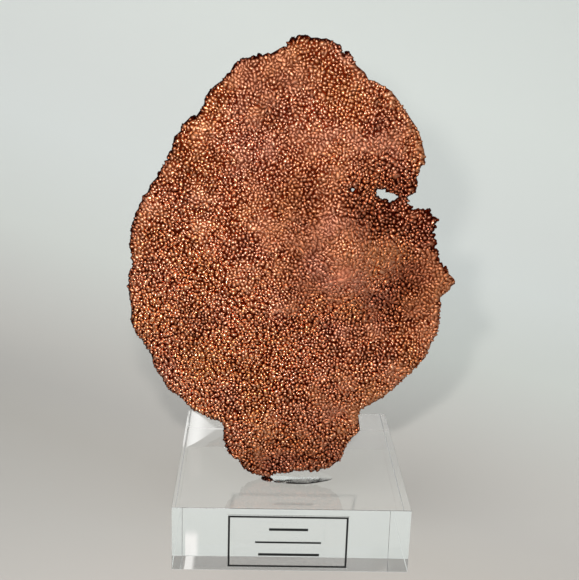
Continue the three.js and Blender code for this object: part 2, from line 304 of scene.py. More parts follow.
def skin(x, z, side, edge=None):
    """Points and outward normals of the crust, side -1 in front and +1 behind."""
    if edge is None:
        edge = edge_distance(x, z)

    def y(x, z):
        bumps = 0.10 * rough_b(x, z) + 0.06 * rough_c(x, z)
        fill = 0.34 * (1 - np.clip(relief(x, z), 0, 1)) * smooth(edge / 1.2)
        return middle(x, z) + side * (core_half(x, z, edge) + bumps * side * 0.6 + fill)

    e = 0.25
    y0 = y(x, z)
    gx, gz = (y(x + e, z) - y(x - e, z)) / (2 * e), (y(x, z + e) - y(x, z - e)) / (2 * e)
    n = np.stack([-side * gx, np.full_like(gx, side), -side * gz], 1)
    n /= np.linalg.norm(n, axis=1)[:, None]
    return np.stack([x, y0, z], 1), n


def flat_uv(verts, column=0, columns=1):
    """Plain x, z layout over the sheet, in one of some columns."""
    v = np.asarray(verts)
    u = np.clip((v[:, 0] + 43.5) / 85.0, 0, 1)
    return np.stack([(column + 0.01 + 0.98 * u) / columns, np.clip((v[:, 2] - 16.5) / 117.0, 0, 1)], 1)


def mesh_object(name, verts, faces, smooth_faces=True, attributes=None, uv=None):
    """A mesh from vertices in millimetres and an array of triangles or quads."""
    verts = np.asarray(verts, np.float32) * np.float32(MM)
    faces = np.asarray(faces, np.int32)
    me = bpy.data.meshes.new(name)
    n, k = faces.shape
    if attributes and "height" in attributes:
        vx, vz = verts[:, 0] / MM, verts[:, 2] / MM
        # painted shade for the copper: the shade patches times the darker rim
        attributes["shade"] = shade(vx, vz) * rim_shade(vx, vz)
        attributes["dull"] = dullness(vx, vz)
        attributes["bare"] = np.clip(1.3 * blob(vx, vz, 11.2, 75.1, 1.7, 1.5), 0, 1) * (verts[:, 1] / MM < middle(vx, vz))
    me.vertices.add(len(verts))
    me.vertices.foreach_set("co", verts.ravel())
    me.loops.add(n * k)
    me.loops.foreach_set("vertex_index", faces.ravel())
    me.polygons.add(n)
    me.polygons.foreach_set("loop_start", np.arange(0, n * k, k, dtype=np.int32))
    me.polygons.foreach_set("use_smooth", np.full(n, smooth_faces, bool))
    for key, values in (attributes or {}).items():
        me.attributes.new(key, "FLOAT", "POINT").data.foreach_set("value", np.asarray(values, np.float32))
    if uv is not None:
        layer = me.uv_layers.new(name="OFBake")
        layer.data.foreach_set("uv", np.asarray(uv, np.float32)[faces.ravel()].ravel())
    me.update(calc_edges=True)
    me.validate()
    ob = bpy.data.objects.new(name, me)
    bpy.context.scene.collection.objects.link(ob)
    return ob


# ------------------------------------------------------------------- materials
def new_material(name):
    m = bpy.data.materials.new(name)
    m.use_nodes = True
    nt = m.node_tree
    return m, nt, nt.nodes["Principled BSDF"]


def node(nt, kind, **values):
    n = nt.nodes.new(kind)
    for key, value in values.items():
        if hasattr(n, key):
            setattr(n, key, value)
        else:
            n.inputs[key].default_value = value
    return n


def ramp(nt, source, stops):
    r = nt.nodes.new("ShaderNodeValToRGB")
    nt.links.new(source, r.inputs["Fac"])
    while len(r.color_ramp.elements) < len(stops):
        r.color_ramp.elements.new(0.5)
    for element, (at, colour) in zip(r.color_ramp.elements, stops):
        element.position = at
        element.color = (*colour, 1) if len(colour) == 3 else colour
    return r.outputs["Color"]


def maths(nt, operation, a, b=None, clamp=False):
    n = nt.nodes.new("ShaderNodeMath")
    n.operation = operation
    n.use_clamp = clamp
    for i, v in enumerate((a, b)):
        if v is None:
            continue
        if isinstance(v, (int, float)):
            n.inputs[i].default_value = v
        else:
            nt.links.new(v, n.inputs[i])
    return n.outputs[0]


def mix(nt, kind, factor, a, b):
    n = nt.nodes.new("ShaderNodeMix")
    n.data_type = "RGBA"
    n.blend_type = kind
    for socket, v in ((n.inputs[0], factor), (n.inputs[6], a), (n.inputs[7], b)):
        if isinstance(v, (int, float)):
            socket.default_value = v
        elif isinstance(v, tuple):
            socket.default_value = (*v, 1)
        else:
            nt.links.new(v, socket)
    return n.outputs[2]


def copper_material(name):
    m, nt, bsdf = new_material(name)
    where = nt.nodes.new("ShaderNodeTexCoord").outputs["Object"]

    def noise(scale, detail=2.0, rough=0.5):
        n = node(nt, "ShaderNodeTexNoise", Scale=scale, Detail=detail, Roughness=rough)
        nt.links.new(where, n.inputs["Vector"])
        return n.outputs["Fac"]

    tone = node(nt, "ShaderNodeAttribute", attribute_name="tone").outputs["Fac"]
    height = node(nt, "ShaderNodeAttribute", attribute_name="height").outputs["Fac"]
    shaded = node(nt, "ShaderNodeAttribute", attribute_name="shade").outputs["Fac"]
    # broad drift from orange copper to a browner, pinker tarnish
    body = ramp(nt, noise(90.0, 3.0), [
        (0.30, (0.66, 0.265, 0.096)),
        (0.50, (0.67, 0.262, 0.118)),
        (0.70, (0.61, 0.240, 0.142)),
    ])
    # the tips are rubbed bright
    # painted highlight: the grain tips, where the key's highlight falls, are given a paler, creamier colour
    tip_highlight = ramp(nt, height, [(0.93, (0.0, 0.0, 0.0)), (1.0, (1.0, 1.0, 1.0))])
    matt = node(nt, "ShaderNodeAttribute", attribute_name="dull").outputs["Fac"]
    tip_highlight_amount = maths(nt, "SUBTRACT", 0.80, maths(nt, "MULTIPLY", matt, 0.60))
    colour = mix(nt, "MIX", maths(nt, "MULTIPLY", tip_highlight, tip_highlight_amount), body, (0.93, 0.66, 0.52))
    # each grain a little lighter or darker than its neighbour
    grain = ramp(nt, tone, [
        (0.0, (0.38, 0.32, 0.30)),
        (0.35, (0.72, 0.68, 0.66)),
        (0.80, (1.0, 1.0, 1.0)),
    ])
    colour = mix(nt, "MULTIPLY", 1.0, colour, grain)
    # painted shade between the grains: a dark film, thick in the gaps and gone from the tips, deepened where the shade
    # attribute is low
    painted_shade_depth = maths(nt, "MULTIPLY", maths(nt, "SUBTRACT", 1.0, shaded), 0.75)
    film = ramp(nt, maths(nt, "SUBTRACT", height, painted_shade_depth, clamp=True), [
        (0.0, (0.10, 0.016, 0.004)),
        (0.30, (0.31, 0.10, 0.050)),
        (0.62, (0.74, 0.57, 0.50)),
        (0.90, (1.0, 1.0, 1.0)),
    ])
    colour = mix(nt, "MULTIPLY", 1.0, colour, film)
    # smooth patches are duller and a little darker
    patina = ramp(nt, matt, [(0.30, (1.0, 1.0, 1.0)), (1.0, (0.72, 0.68, 0.69))])
    colour = mix(nt, "MULTIPLY", 1.0, colour, patina)
    # painted shade from the shade attribute: darker patches and a darker rim
    painted_shade_tone = ramp(nt, shaded, [(0.25, (0.45, 0.36, 0.36)), (1.0, (1.0, 1.0, 1.0))])
    colour = mix(nt, "MULTIPLY", 1.0, colour, painted_shade_tone)
    bare = node(nt, "ShaderNodeAttribute", attribute_name="bare").outputs["Fac"]
    colour = mix(nt, "MIX", maths(nt, "MULTIPLY", bare, 0.7), colour, (0.60, 0.245, 0.145))
    nt.links.new(colour, bsdf.inputs["Base Color"])
    bsdf.inputs["Metallic"].default_value = 1.0
    spread = maths(nt, "MULTIPLY", noise(700.0, 2.0), 0.14)
    dull = maths(nt, "MULTIPLY", maths(nt, "SUBTRACT", 1.0, tone), 0.34)
    dull = maths(nt, "ADD", dull, maths(nt, "MULTIPLY", matt, 0.31))
    dull = maths(nt, "ADD", dull, maths(nt, "MULTIPLY", bare, 0.2))
    rough = maths(nt, "ADD", maths(nt, "ADD", spread, dull), 0.09, clamp=True)
    nt.links.new(rough, bsdf.inputs["Roughness"])
    bump = node(nt, "ShaderNodeBump", Strength=0.55, Distance=0.00006)
    nt.links.new(noise(2900.0, 2.0), bump.inputs["Height"])
    nt.links.new(bump.outputs["Normal"], bsdf.inputs["Normal"])
    return m


copper = copper_material("copper")


# ---------------------------------------------------------------- copper: crust
def resample(loop, step):
    out = []
    for a, b in zip(loop, np.roll(loop, -1, axis=0)):
        n = max(1, int(round(np.hypot(*(b - a)) / step)))
        out += [a + (b - a) * k / n for k in range(n)]
    return np.array(out)


def make_crust():
    loops = [resample(RIM, 0.7), resample(HOLE, 0.5), resample(PIN, 0.3)]
    step = 0.82
    xs, zs = np.meshgrid(np.arange(-43, 41, step), np.arange(17, 133, step * 0.866))
    xs[1::2] += step / 2
    x, z = xs.ravel(), zs.ravel()
    x = x + rng.uniform(-0.14, 0.14, len(x))
    z = z + rng.uniform(-0.14, 0.14, len(z))
    keep = on_sheet(x, z)
    x, z = x[keep], z[keep]
    keep = edge_distance(x, z) > 0.33
    points = [*loops, np.stack([x[keep], z[keep]], 1)]
    flat = np.concatenate(points)
    edges, start = [], 0
    for loop in loops:
        n = len(loop)
        edges += [(start + i, start + (i + 1) % n) for i in range(n)]
        start += n
    out, out_edges, tris, *_ = delaunay_2d_cdt([Vector(p) for p in flat.tolist()], edges, [], 0, 1e-5)
    p = np.array([tuple(v) for v in out])
    t = np.array([f for f in tris if len(f) == 3])
    c = p[t].mean(1)
    t = t[on_sheet(c[:, 0], c[:, 1])]
    a, b, d = p[t[:, 0]], p[t[:, 1]], p[t[:, 2]]
    turn = (b[:, 0] - a[:, 0]) * (d[:, 1] - a[:, 1]) - (b[:, 1] - a[:, 1]) * (d[:, 0] - a[:, 0])
    t[turn < 0] = t[turn < 0][:, ::-1]
    used = np.unique(t)
    index = np.full(len(p), -1)
    index[used] = np.arange(len(used))
    p, t = p[used], index[t]
    edge = edge_distance(p[:, 0], p[:, 1])
    front, _ = skin(p[:, 0], p[:, 1], -1, edge)
    back, _ = skin(p[:, 0], p[:, 1], 1, edge)
    n = len(p)
    # boundary edges are used by one triangle only, and keep their direction
    e = np.concatenate([t[:, [0, 1]], t[:, [1, 2]], t[:, [2, 0]]])
    key = set(map(tuple, e.tolist()))
    rim = np.array([(i, j) for i, j in key if (j, i) not in key])
    # the rim bulges outwards between the two faces
    nxt = {int(i): int(j) for i, j in rim}
    prv = {j: i for i, j in nxt.items()}
    mids, mid_index = [], {}
    for i in nxt:
        d = p[nxt[i]] - p[prv[i]]
        d = d / max(np.hypot(*d), 1e-6)
        q = p[i] + 0.06 * np.array([d[1], -d[0]])
        mid_index[i] = 2 * n + len(mids)
        mids.append((q[0], (front[i, 1] + back[i, 1]) / 2, q[1]))
    sides = []
    for i, j in rim.tolist():
        a, b = mid_index[i], mid_index[j]
        sides += [(i, a, j), (a, b, j), (a, i + n, b), (i + n, j + n, b)]
    verts = np.concatenate([front, back, np.array(mids)])
    faces = np.concatenate([t, t[:, ::-1] + n, np.array(sides)])
    # painted gap shade: the crust between the grains gets a low tone and a low height, darkest where the grains stand
    # tall
    tone = np.full(len(verts), 0.35)
    r = relief(verts[:, 0], verts[:, 2])
    height = 0.10 + 0.75 * (1 - np.clip(r, 0, 1)) ** 1.0
    half = np.arange(len(verts)) >= n
    half[2 * n:] = False
    uv = np.where(half[:, None], flat_uv(verts, 1, 2), flat_uv(verts, 0, 2))
    return mesh_object("copper_crust", verts, faces, attributes={"tone": tone, "height": height}, uv=uv)


crust = make_crust()


# --------------------------------------------------------------- copper: grains
def scatter(pitch, seed, rounds=18):
    """Evenly packed random places on the sheet, with each grain's own size."""
    r = np.random.default_rng(seed)
    area = 6330.0
    count = int(1.05 * area / (math.pi / 4 * pitch ** 2))
    x = r.uniform(-43, 40, count * 3)
    z = r.uniform(17, 132, count * 3)
    ok = on_sheet(x, z)
    x, z = x[ok][:count], z[ok][:count]
    ok = edge_distance(x, z) > 0.3
    p = np.stack([x, z], 1)
    size = pitch * np.clip(r.normal(1.0, 0.17, len(p)), 0.6, 1.5)
    for k in range(rounds):
        local = size * (1 + 0.10 * size_b(p[:, 0], p[:, 1]) + 0.10 * (relief(p[:, 0], p[:, 1]) - 0.95))
        tree = kdtree.KDTree(len(p))
        for i, q in enumerate(p.tolist()):
            tree.insert((q[0], q[1], 0), i)
        tree.balance()
        near = np.zeros((len(p), 7), int)
        for i, q in enumerate(p.tolist()):
            found = [f[1] for f in tree.find_n((q[0], q[1], 0), 8) if f[1] != i][:7]
            near[i, :len(found)] = found
        d = p[:, None] - p[near]
        length = np.maximum(np.hypot(d[..., 0], d[..., 1]), 1e-4)
        want = 0.5 * (local[:, None] + local[near])
        push = np.clip(want - length, 0, None) * 0.5
        move = (d / length[..., None] * push[..., None]).sum(1)
        step = np.hypot(*move.T)
        move *= np.minimum(1, 0.45 / np.maximum(step, 1e-6))[:, None]
        q = p + move
        ok = on_sheet(q[:, 0], q[:, 1])
        edge = edge_distance(q[:, 0], q[:, 1])
        ok &= edge > 0.30
        p[ok] = q[ok]
    keep = edge_distance(p[:, 0], p[:, 1]) > 0.28
    keep &= np.hypot(p[:, 0] - PINHOLE[0], p[:, 1] - PINHOLE[1]) > PINHOLE[2] + 0.55
    return fill_gaps(p[keep], size[keep], r)


def fill_gaps(p, size, r):
    """Small grains in the bare places between the others."""
    tree = kdtree.KDTree(len(p))
    for i, q in enumerate(p.tolist()):
        tree.insert((q[0], q[1], 0), i)
    tree.balance()
    x, z = np.meshgrid(np.arange(-43, 41, 0.3), np.arange(17, 133, 0.3))
    spots = np.stack([x.ravel(), z.ravel()], 1) + r.uniform(-0.12, 0.12, (x.size, 2))
    spots = spots[on_sheet(spots[:, 0], spots[:, 1])]
    found = [tree.find((q[0], q[1], 0)) for q in spots.tolist()]
    gap = np.array([f[2] - 0.5 * size[f[1]] for f in found])
    spots, gap = spots[gap > 0.17], gap[gap > 0.17]
    ok = edge_distance(spots[:, 0], spots[:, 1]) > 0.35
    ok &= np.hypot(spots[:, 0] - PINHOLE[0], spots[:, 1] - PINHOLE[1]) > PINHOLE[2] + 0.55
    spots, gap = spots[ok], gap[ok]
    taken, sizes = [], []
    for k in np.argsort(-gap):
        if all(abs(spots[k, 0] - t[0]) + abs(spots[k, 1] - t[1]) > 0.62 for t in taken):
            taken.append(tuple(spots[k]))
            sizes.append(float(np.clip(2.3 * gap[k], 0.45, 1.0)))
    if not taken:
        return p, size
    return np.concatenate([p, np.array(taken)]), np.concatenate([size, np.array(sizes)])


def cap_template(segments, angles):
    """Unit cap: a tip and rings at these angles from it, in degrees."""
    verts = [(0, 0, 1)]
    for k, a in enumerate(angles):
        t = math.radians(a)
        for i in range(segments):
            s = (i + 0.5 * (k % 2)) / segments * 2 * math.pi
            verts.append((math.sin(t) * math.cos(s), math.sin(t) * math.sin(s), math.cos(t)))
    faces = [(0, 1 + i, 1 + (i + 1) % segments) for i in range(segments)]
    for k in range(len(angles) - 1):
        a, b = 1 + k * segments, 1 + (k + 1) * segments
        for i in range(segments):
            j = (i + 1) % segments
            if k % 2 == 0:
                faces += [(a + i, b + i, a + j), (a + j, b + i, b + j)]
            else:
                faces += [(a + i, b + j, a + j), (a + i, b + i, b + j)]
    return np.array(verts, float), np.array(faces, int)


def frame_of(normal, angle):
    """Two tangents for each normal, turned by angle round it."""
    up = np.where(np.abs(normal[:, 2:3]) < 0.9, [[0.0, 0.0, 1.0]], [[1.0, 0.0, 0.0]])
    a = np.cross(up, normal)
    a /= np.linalg.norm(a, axis=1)[:, None]
    b = np.cross(normal, a)
    c, s = np.cos(angle)[:, None], np.sin(angle)[:, None]
    return c * a + s * b, -s * a + c * b


def grains(centres, normals, radii, template, seed, turn=None, tone=None, lumps=0.15):
    """Joined grains: radii is one row (along, across, out) for each."""
    r = np.random.default_rng(seed)
    unit, faces = template
    n = len(centres)
    if turn is None:
        turn = r.uniform(0, 2 * np.pi, n)
    a, b = frame_of(normals, turn)
    # every grain has its own low lumps, so none is a plain ball
    axes = r.normal(size=(n, 3, 3))
    axes /= np.linalg.norm(axes, axis=2)[..., None]
    phase = r.uniform(0, 2 * np.pi, (n, 3))
    swell = 1 + lumps * np.sin(3.1 * np.einsum("vk,nmk->nvm", unit, axes) + phase[:, None]).sum(2) / 1.5
    swell = swell * (1 + r.normal(0, 0.35 * lumps, swell.shape))
    local = unit[None] * swell[..., None] * radii[:, None, :]
    verts = (
        centres[:, None]
        + local[..., 0:1] * a[:, None]
        + local[..., 1:2] * b[:, None]
        + local[..., 2:3] * normals[:, None]
    )
    m = len(unit)
    faces = (faces[None] + (np.arange(n) * m)[:, None, None]).reshape(-1, 3)
    if tone is None:
        tone = r.beta(3.2, 2.6, n)
    height = np.clip(0.5 + 0.5 * unit[:, 2], 0, 1)[None] * np.ones((n, 1))
    return verts.reshape(-1, 3), faces, np.repeat(tone, m), height.ravel()


def face_grains(side, seed, pitch, template, pieces, name):
    p, size = scatter(pitch, seed)
    x, z = p.T
    r = np.random.default_rng(seed + 50)
    edge = edge_distance(x, z)
    deep = relief(x, z)
    at, normal = skin(x, z, side, edge)
    tilt = r.normal(0, 0.22, (len(x), 3)) * np.clip(deep, 0.3, 1)[:, None]
    normal = normal + tilt
    normal /= np.linalg.norm(normal, axis=1)[:, None]
    across = 0.5 * size * (1.02 + 0.06 * r.normal(size=len(x)) + 0.16 * np.clip(1 - deep, 0, 1))
    across = np.minimum(across, 0.16 + 0.80 * edge)
    out = across * np.clip(0.32 + 0.76 * deep + 0.10 * r.normal(size=len(x)), 0.26, 1.35)
    turn = r.uniform(0, 2 * np.pi, len(x))
    radii = np.stack([across, across, out], 1)
    # short ridges where the crust is smooth, running every way
    ridged = np.clip(1.1 - deep, 0, 1)
    strong = r.uniform(size=len(x)) < 0.34 + 0.5 * ridged
    radii[:, 0] *= np.where(strong, r.uniform(1.2, 1.7, len(x)), r.uniform(0.95, 1.2, len(x)))
    radii[:, 1] *= np.where(strong, r.uniform(0.70, 0.9, len(x)), 1.0)
    # how far the middle of each grain stands out of the crust
    lift = across * (0.10 + 0.22 * np.clip(deep, 0, 1.2)) + 0.07 * r.normal(size=len(x)) * np.clip(deep, 0, 1)
    centre = at + normal * lift[:, None]
    tone = np.clip(r.beta(2.6, 2.2, len(x)) + 0.08 * tone_a(x, z) + 0.10 * tone_b(x, z), 0.02, 1)
    # painted shade: grains near the rim and the holes are darker
    tone = tone * (0.55 + 0.45 * smooth(edge / 1.1))
    tone = tone + (0.68 - tone) * 0.65 * np.clip(1 - deep, 0, 1)
    # how much painted gap shade each grain keeps: less where the grains stand low
    open_gap = np.clip(0.42 + 0.58 * deep, 0, 1)
    order = np.argsort(z)
    made = []
    for k, part in enumerate(np.array_split(order, pieces)):
        v, f, t, h = grains(centre[part], normal[part], radii[part], template, seed + 7 + k, turn[part], tone[part])
        h = 1 - (1 - h) * np.repeat(open_gap[part], len(template[0]))
        made.append(mesh_object(f"{name}_{k + 1}", v, f, attributes={"tone": t, "height": h}, uv=flat_uv(v)))
    return made


FRONT = cap_template(8, (30, 60, 90, 122))
BACK = cap_template(7, (34, 68, 108))
front = face_grains(-1, 11, 0.98, FRONT, 3, "copper_grains_front")
back = face_grains(1, 12, 1.02, BACK, 2, "copper_grains_back")


def rim_grains():
    """Grains that wrap the sheet's edge and the larger hole."""
    r = np.random.default_rng(33)
    places, outward = [], []
    for loop, sign in ((RIM, 1), (HOLE, -1)):
        a, b = loop, np.roll(loop, -1, axis=0)
        area = 0.5 * np.sum(a[:, 0] * b[:, 1] - b[:, 0] * a[:, 1])
        turn = np.sign(area) * sign
        length = np.hypot(*(b - a).T)
        total = length.sum()
        run = np.concatenate([[0], np.cumsum(length)])
        s = 0.0
        while s < total:
            k = min(np.searchsorted(run, s, "right") - 1, len(a) - 1)
            t = (s - run[k]) / length[k]
            d = (b[k] - a[k]) / length[k]
            places.append(a[k] + (b[k] - a[k]) * t)
            outward.append(np.array([d[1], -d[0]]) * turn)
            s += r.uniform(0.30, 0.46)
    places, outward = np.array(places), np.array(outward)
    radius = np.clip(r.normal(0.46, 0.07, len(places)), 0.3, 0.64)
    row = r.uniform(-1, 1, len(places))
    inset = radius * 1.0 + 0.10 * row ** 2
    # the broken right edge ends in knobs of its own
    torn = (places[:, 0] > 27) & (places[:, 1] > 76) & (places[:, 1] < 96)
    inset = np.where(torn, radius * r.uniform(-0.25, 0.9, len(radius)), inset)
    c = places - outward * inset[:, None]
    ok = on_sheet(c[:, 0], c[:, 1]) | torn
    c, outward, radius, row = c[ok], outward[ok], radius[ok], row[ok]
    y = middle(c[:, 0], c[:, 1]) + row * 0.42
    centre = np.stack([c[:, 0], y, c[:, 1]], 1)
    normal = np.stack([outward[:, 0], row * 0.9, outward[:, 1]], 1)
    normal /= np.linalg.norm(normal, axis=1)[:, None]
    radii = np.stack([radius * r.uniform(0.92, 1.12, len(c)), radius * r.uniform(0.92, 1.12, len(c)), radius], 1)
    # painted shade: the rim grains get darker tones and a deeper gap shade than the face grains
    tone = np.clip(r.beta(2.2, 3.2, len(c)), 0.02, 1) * 0.6
    v, f, t, h = grains(centre, normal, radii, cap_template(8, (30, 60, 90, 125)), 34, tone=tone)
    return mesh_object("copper_grains_rim", v, f, attributes={"tone": t, "height": h * 0.40}, uv=flat_uv(v))


rim = rim_grains()

for piece in [crust, *front, *back, rim]:
    piece.data.materials.append(copper)
    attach(piece, "root")
    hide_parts("copper_sheet")


# ---------------------------------------------------------------- clear pieces
def clear_material(name, ior, roughness, tint):
    m, nt, bsdf = new_material(name)
    bsdf.inputs["Base Color"].default_value = (*tint, 1)
    bsdf.inputs["Transmission Weight"].default_value = 1.0
    bsdf.inputs["IOR"].default_value = ior
    bsdf.inputs["Roughness"].default_value = roughness
    return m, nt, bsdf


acrylic, _, _ = clear_material("clear_acrylic", 1.54, 0.0, (1.0, 1.0, 1.0))
gel_look, _, _ = clear_material("clear_gel", 1.41, 0.08, (1.0, 1.0, 1.0))
film_look, _, _ = clear_material("clear_film", 1.49, 0.02, (1.0, 1.0, 1.0))


def set_material(obj, material):
    obj.data.materials.clear()
    obj.data.materials.append(material)


def make_block(arris=0.13):
    """The block, its arrises polished round."""
    h, t = BLOCK_SIDE / 2, BLOCK_HEIGHT
    steps = (0.0, 30.0, 60.0, 90.0)
    rings = []
    for base, sign in ((arris, -1), (t - arris, 1)):
        angles = steps if sign > 0 else steps[::-1]
        for deg in angles:
            a = math.radians(deg)
            inset = arris * (1 - math.cos(a))
            rings.append((base + sign * arris * math.sin(a), inset))
    verts, n = [], 4 * len(steps)
    for z, inset in rings:
        for q in range(4):
            for deg in steps:
                a = math.radians(deg + 90 * q)
                cx, cy = ((1, 1), (-1, 1), (-1, -1), (1, -1))[q]
                r = arris - inset
                verts.append((cx * (h - arris) + r * math.cos(a), cy * (h - arris) + r * math.sin(a), z))
    faces = []
    for k in range(len(rings) - 1):
        for i in range(n):
            j = (i + 1) % n
            faces.append([k * n + i, k * n + j, (k + 1) * n + j, (k + 1) * n + i])
    me = bpy.data.meshes.new("clear_block")
    caps = [list(range(n))[::-1], list(range((len(rings) - 1) * n, len(rings) * n))]
    me.from_pydata([tuple(c * MM for c in v) for v in verts], [], faces + caps)
    me.validate()
    ob = bpy.data.objects.new("clear_block", me)
    bpy.context.scene.collection.objects.link(ob)
    welded(ob, 5)
    return ob


def welded(obj, angle, distance=0.002):
    import bmesh

    bm = bmesh.new()
    bm.from_mesh(obj.data)
    bmesh.ops.remove_doubles(bm, verts=bm.verts, dist=distance * MM)
    bmesh.ops.recalc_face_normals(bm, faces=bm.faces)
    bm.to_mesh(obj.data)
    bm.free()
    obj.data.set_sharp_from_angle(angle=math.radians(angle))


def foot_height(x):
    """Height of the sheet's lower edge over the block, along x."""
    a, b = RIM, np.roll(RIM, -1, axis=0)
    out = np.full(len(x), 30.0)
    for k in range(len(a)):
        if a[k, 1] > 30 or b[k, 1] > 30 or a[k, 0] == b[k, 0]:
            continue
        t = (x - a[k, 0]) / (b[k, 0] - a[k, 0])
        z = a[k, 1] + t * (b[k, 1] - a[k, 1])
        out = np.where((t >= 0) & (t <= 1), np.minimum(out, z - BLOCK_HEIGHT), out)
    return out


def make_pad(gap=0.02, rings=30, segments=96):
    """A low puddle of clear gel that climbs a little up the foot of the sheet."""
    cx, cy, rx, ry = 1.6, -12.8, 9.2, 3.9
    verts, top = [], []
    for k in range(rings + 1):
        rho = math.sin(k / rings * math.pi / 2)
        for i in range(segments if k else 1):
            a = i / segments * 2 * math.pi
            wobble = 1 + 0.05 * math.sin(2 * a + 0.6) + 0.03 * math.sin(5 * a + 2.0)
            top.append((cx + rx * rho * wobble * math.cos(a), cy + ry * rho * wobble * math.sin(a), rho))
    p = np.array(top)
    low = foot_height(p[:, 0])
    gap_to = np.abs(p[:, 1] - middle(p[:, 0], np.full(len(p), BLOCK_HEIGHT + 1.5)))
    climb = 1.1 * np.exp(-np.clip(gap_to - 0.7, 0, None) / 1.1) * np.exp(-(np.clip(low, 0, 9) / 1.9) ** 2)
    dome = 0.34 * np.clip(1 - p[:, 2] ** 2, 0, 1) ** 0.8
    z = BLOCK_HEIGHT + gap + dome + climb * np.sqrt(np.clip(1 - p[:, 2] ** 6, 0, 1))
    verts = [(x, y, h) for (x, y, _), h in zip(top, z)]
    faces = [(0, 1 + i, 1 + (i + 1) % segments) for i in range(segments)]
    for k in range(rings - 1):
        a, b = 1 + k * segments, 1 + (k + 1) * segments
        for i in range(segments):
            j = (i + 1) % segments
            faces += [(a + i, b + i, b + j), (a + i, b + j, a + j)]
    last = 1 + (rings - 1) * segments
    centre = len(verts)
    verts.append((cx, cy, BLOCK_HEIGHT + gap))
    faces += [(centre, last + (i + 1) % segments, last + i) for i in range(segments)]
    return mesh_object("gel_pad_clear", verts, faces)


block = make_block()
block.data.materials.append(acrylic)
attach(block, "root")
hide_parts("base_block")

pad = make_pad()
welded(pad, 60)
pad.data.materials.append(gel_look)
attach(pad, "root")
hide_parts("gel_pad")

# the film is held a hair off the block's face for the same reason
FILM = (-16.1, 14.5, 1.0, 15.8)
FILM_FRONT, FILM_BACK = -30.15, -30.03


def slabs(boxes, front, back):
    """Rectangles x0, x1, z0, z1 as thin closed slabs with a fine bevel."""
    verts, faces = [], []
    for x0, x1, z0, z1 in boxes:
        e = 0.3 * (back - front)
        start = len(verts)
        for y, inset in ((front, e), (front + e, 0.0), (back, 0.0)):
            verts += [
                (x0 + inset, y, z0 + inset), (x1 - inset, y, z0 + inset),
                (x1 - inset, y, z1 - inset), (x0 + inset, y, z1 - inset),
            ]
        faces.append([start, start + 1, start + 2, start + 3])
        faces.append([start + 11, start + 10, start + 9, start + 8])
        for ring in (0, 4):
            for i in range(4):
                j = (i + 1) % 4
                faces.append([start + ring + i, start + ring + i + 4, start + ring + j + 4, start + ring + j])
    return verts, faces


film = mesh_object("label_film_clear", *slabs([FILM], FILM_FRONT, FILM_BACK), smooth_faces=False)
film.data.materials.append(film_look)
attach(film, "root")
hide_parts("label_film")

# border and three plain ruled lines, printed on the front of the film
X0, X1, Z0, Z1, LINE = -15.88, 14.28, 1.17, 15.57, 0.50
bars = [
    (X0, X1, Z0, Z0 + LINE), (X0, X1, Z1 - LINE, Z1),
    (X0, X0 + LINE, Z0 + LINE, Z1 - LINE), (X1 - LINE, X1, Z0 + LINE, Z1 - LINE),
    (-5.6, 4.2, 11.5, 12.2), (-9.0, 7.6, 7.95, 8.45), (-8.2, 7.2, 4.4, 5.1),
]
print_piece = mesh_object("label_lines", *slabs(bars, FILM_FRONT - 0.03, FILM_FRONT - 0.002), smooth_faces=False)
ink, _, ink_bsdf = new_material("ink")
ink_bsdf.inputs["Base Color"].default_value = (0.012, 0.013, 0.013, 1)
ink_bsdf.inputs["Roughness"].default_value = 0.45
ink_bsdf.inputs["Specular IOR Level"].default_value = 0.15
print_piece.data.materials.append(ink)
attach(print_piece, "root")


for clear in (block, pad, film):
    clear.visible_shadow = False
    clear.visible_diffuse = False


# ------------------------------------------------------------------------ stage
def sweep():
    """Pale table that curves up into a backdrop behind."""
    wall, radius, top = 420.0, 300.0, 3000.0
    profile = [(-15000.0, 0.0), (-1500.0, 0.0), (-400.0, 0.0), (0.0, 0.0)]
    for k in range(33):
        a = k / 32 * math.pi / 2
        profile.append((wall - radius + radius * math.sin(a), radius - radius * math.cos(a)))
    profile.append((wall, top))
    xs = np.concatenate([[-15000.0, -6000.0], np.linspace(-2500, 2500, 11), [6000.0, 15000.0]])
    verts = [(x, y, z - 0.15) for y, z in profile for x in xs]
    n = len(xs)
    faces = [
        (i * n + j, i * n + j + 1, (i + 1) * n + j + 1, (i + 1) * n + j)
        for i in range(len(profile) - 1)
        for j in range(n - 1)
    ]
    return mesh_object("sweep", verts, faces)


stage = sweep()
paper, nt, bsdf = new_material("paper")
split = nt.nodes.new("ShaderNodeSeparateXYZ")
nt.links.new(nt.nodes.new("ShaderNodeTexCoord").outputs["Object"], split.inputs[0])
along = maths(nt, "ADD", maths(nt, "ADD", split.outputs["Y"], split.outputs["Z"]), maths(nt, "MULTIPLY", split.outputs["X"], 0.7))
along = maths(nt, "MULTIPLY", maths(nt, "ADD", along, 0.15), 1.3333, clamp=True)
# painted light and shade: the paper is darker and warmer towards the front and left, lighter and cooler up the wall and
# to the right
tint = ramp(nt, along, [
    (0.127, (0.474, 0.453, 0.428)),
    (0.200, (0.478, 0.454, 0.424)),
    (0.243, (0.510, 0.487, 0.462)),
    (0.300, (0.600, 0.577, 0.547)),
    (0.360, (0.668, 0.660, 0.628)),
    (0.433, (0.745, 0.760, 0.722)),
    (0.573, (0.818, 0.842, 0.817)),
    (0.667, (0.835, 0.855, 0.825)),
    (0.833, (0.880, 0.908, 0.867)),
])
nt.links.new(tint, bsdf.inputs["Base Color"])
bsdf.inputs["Roughness"].default_value = 0.9
bsdf.inputs["Specular IOR Level"].default_value = 0.15
set_material(stage, paper)

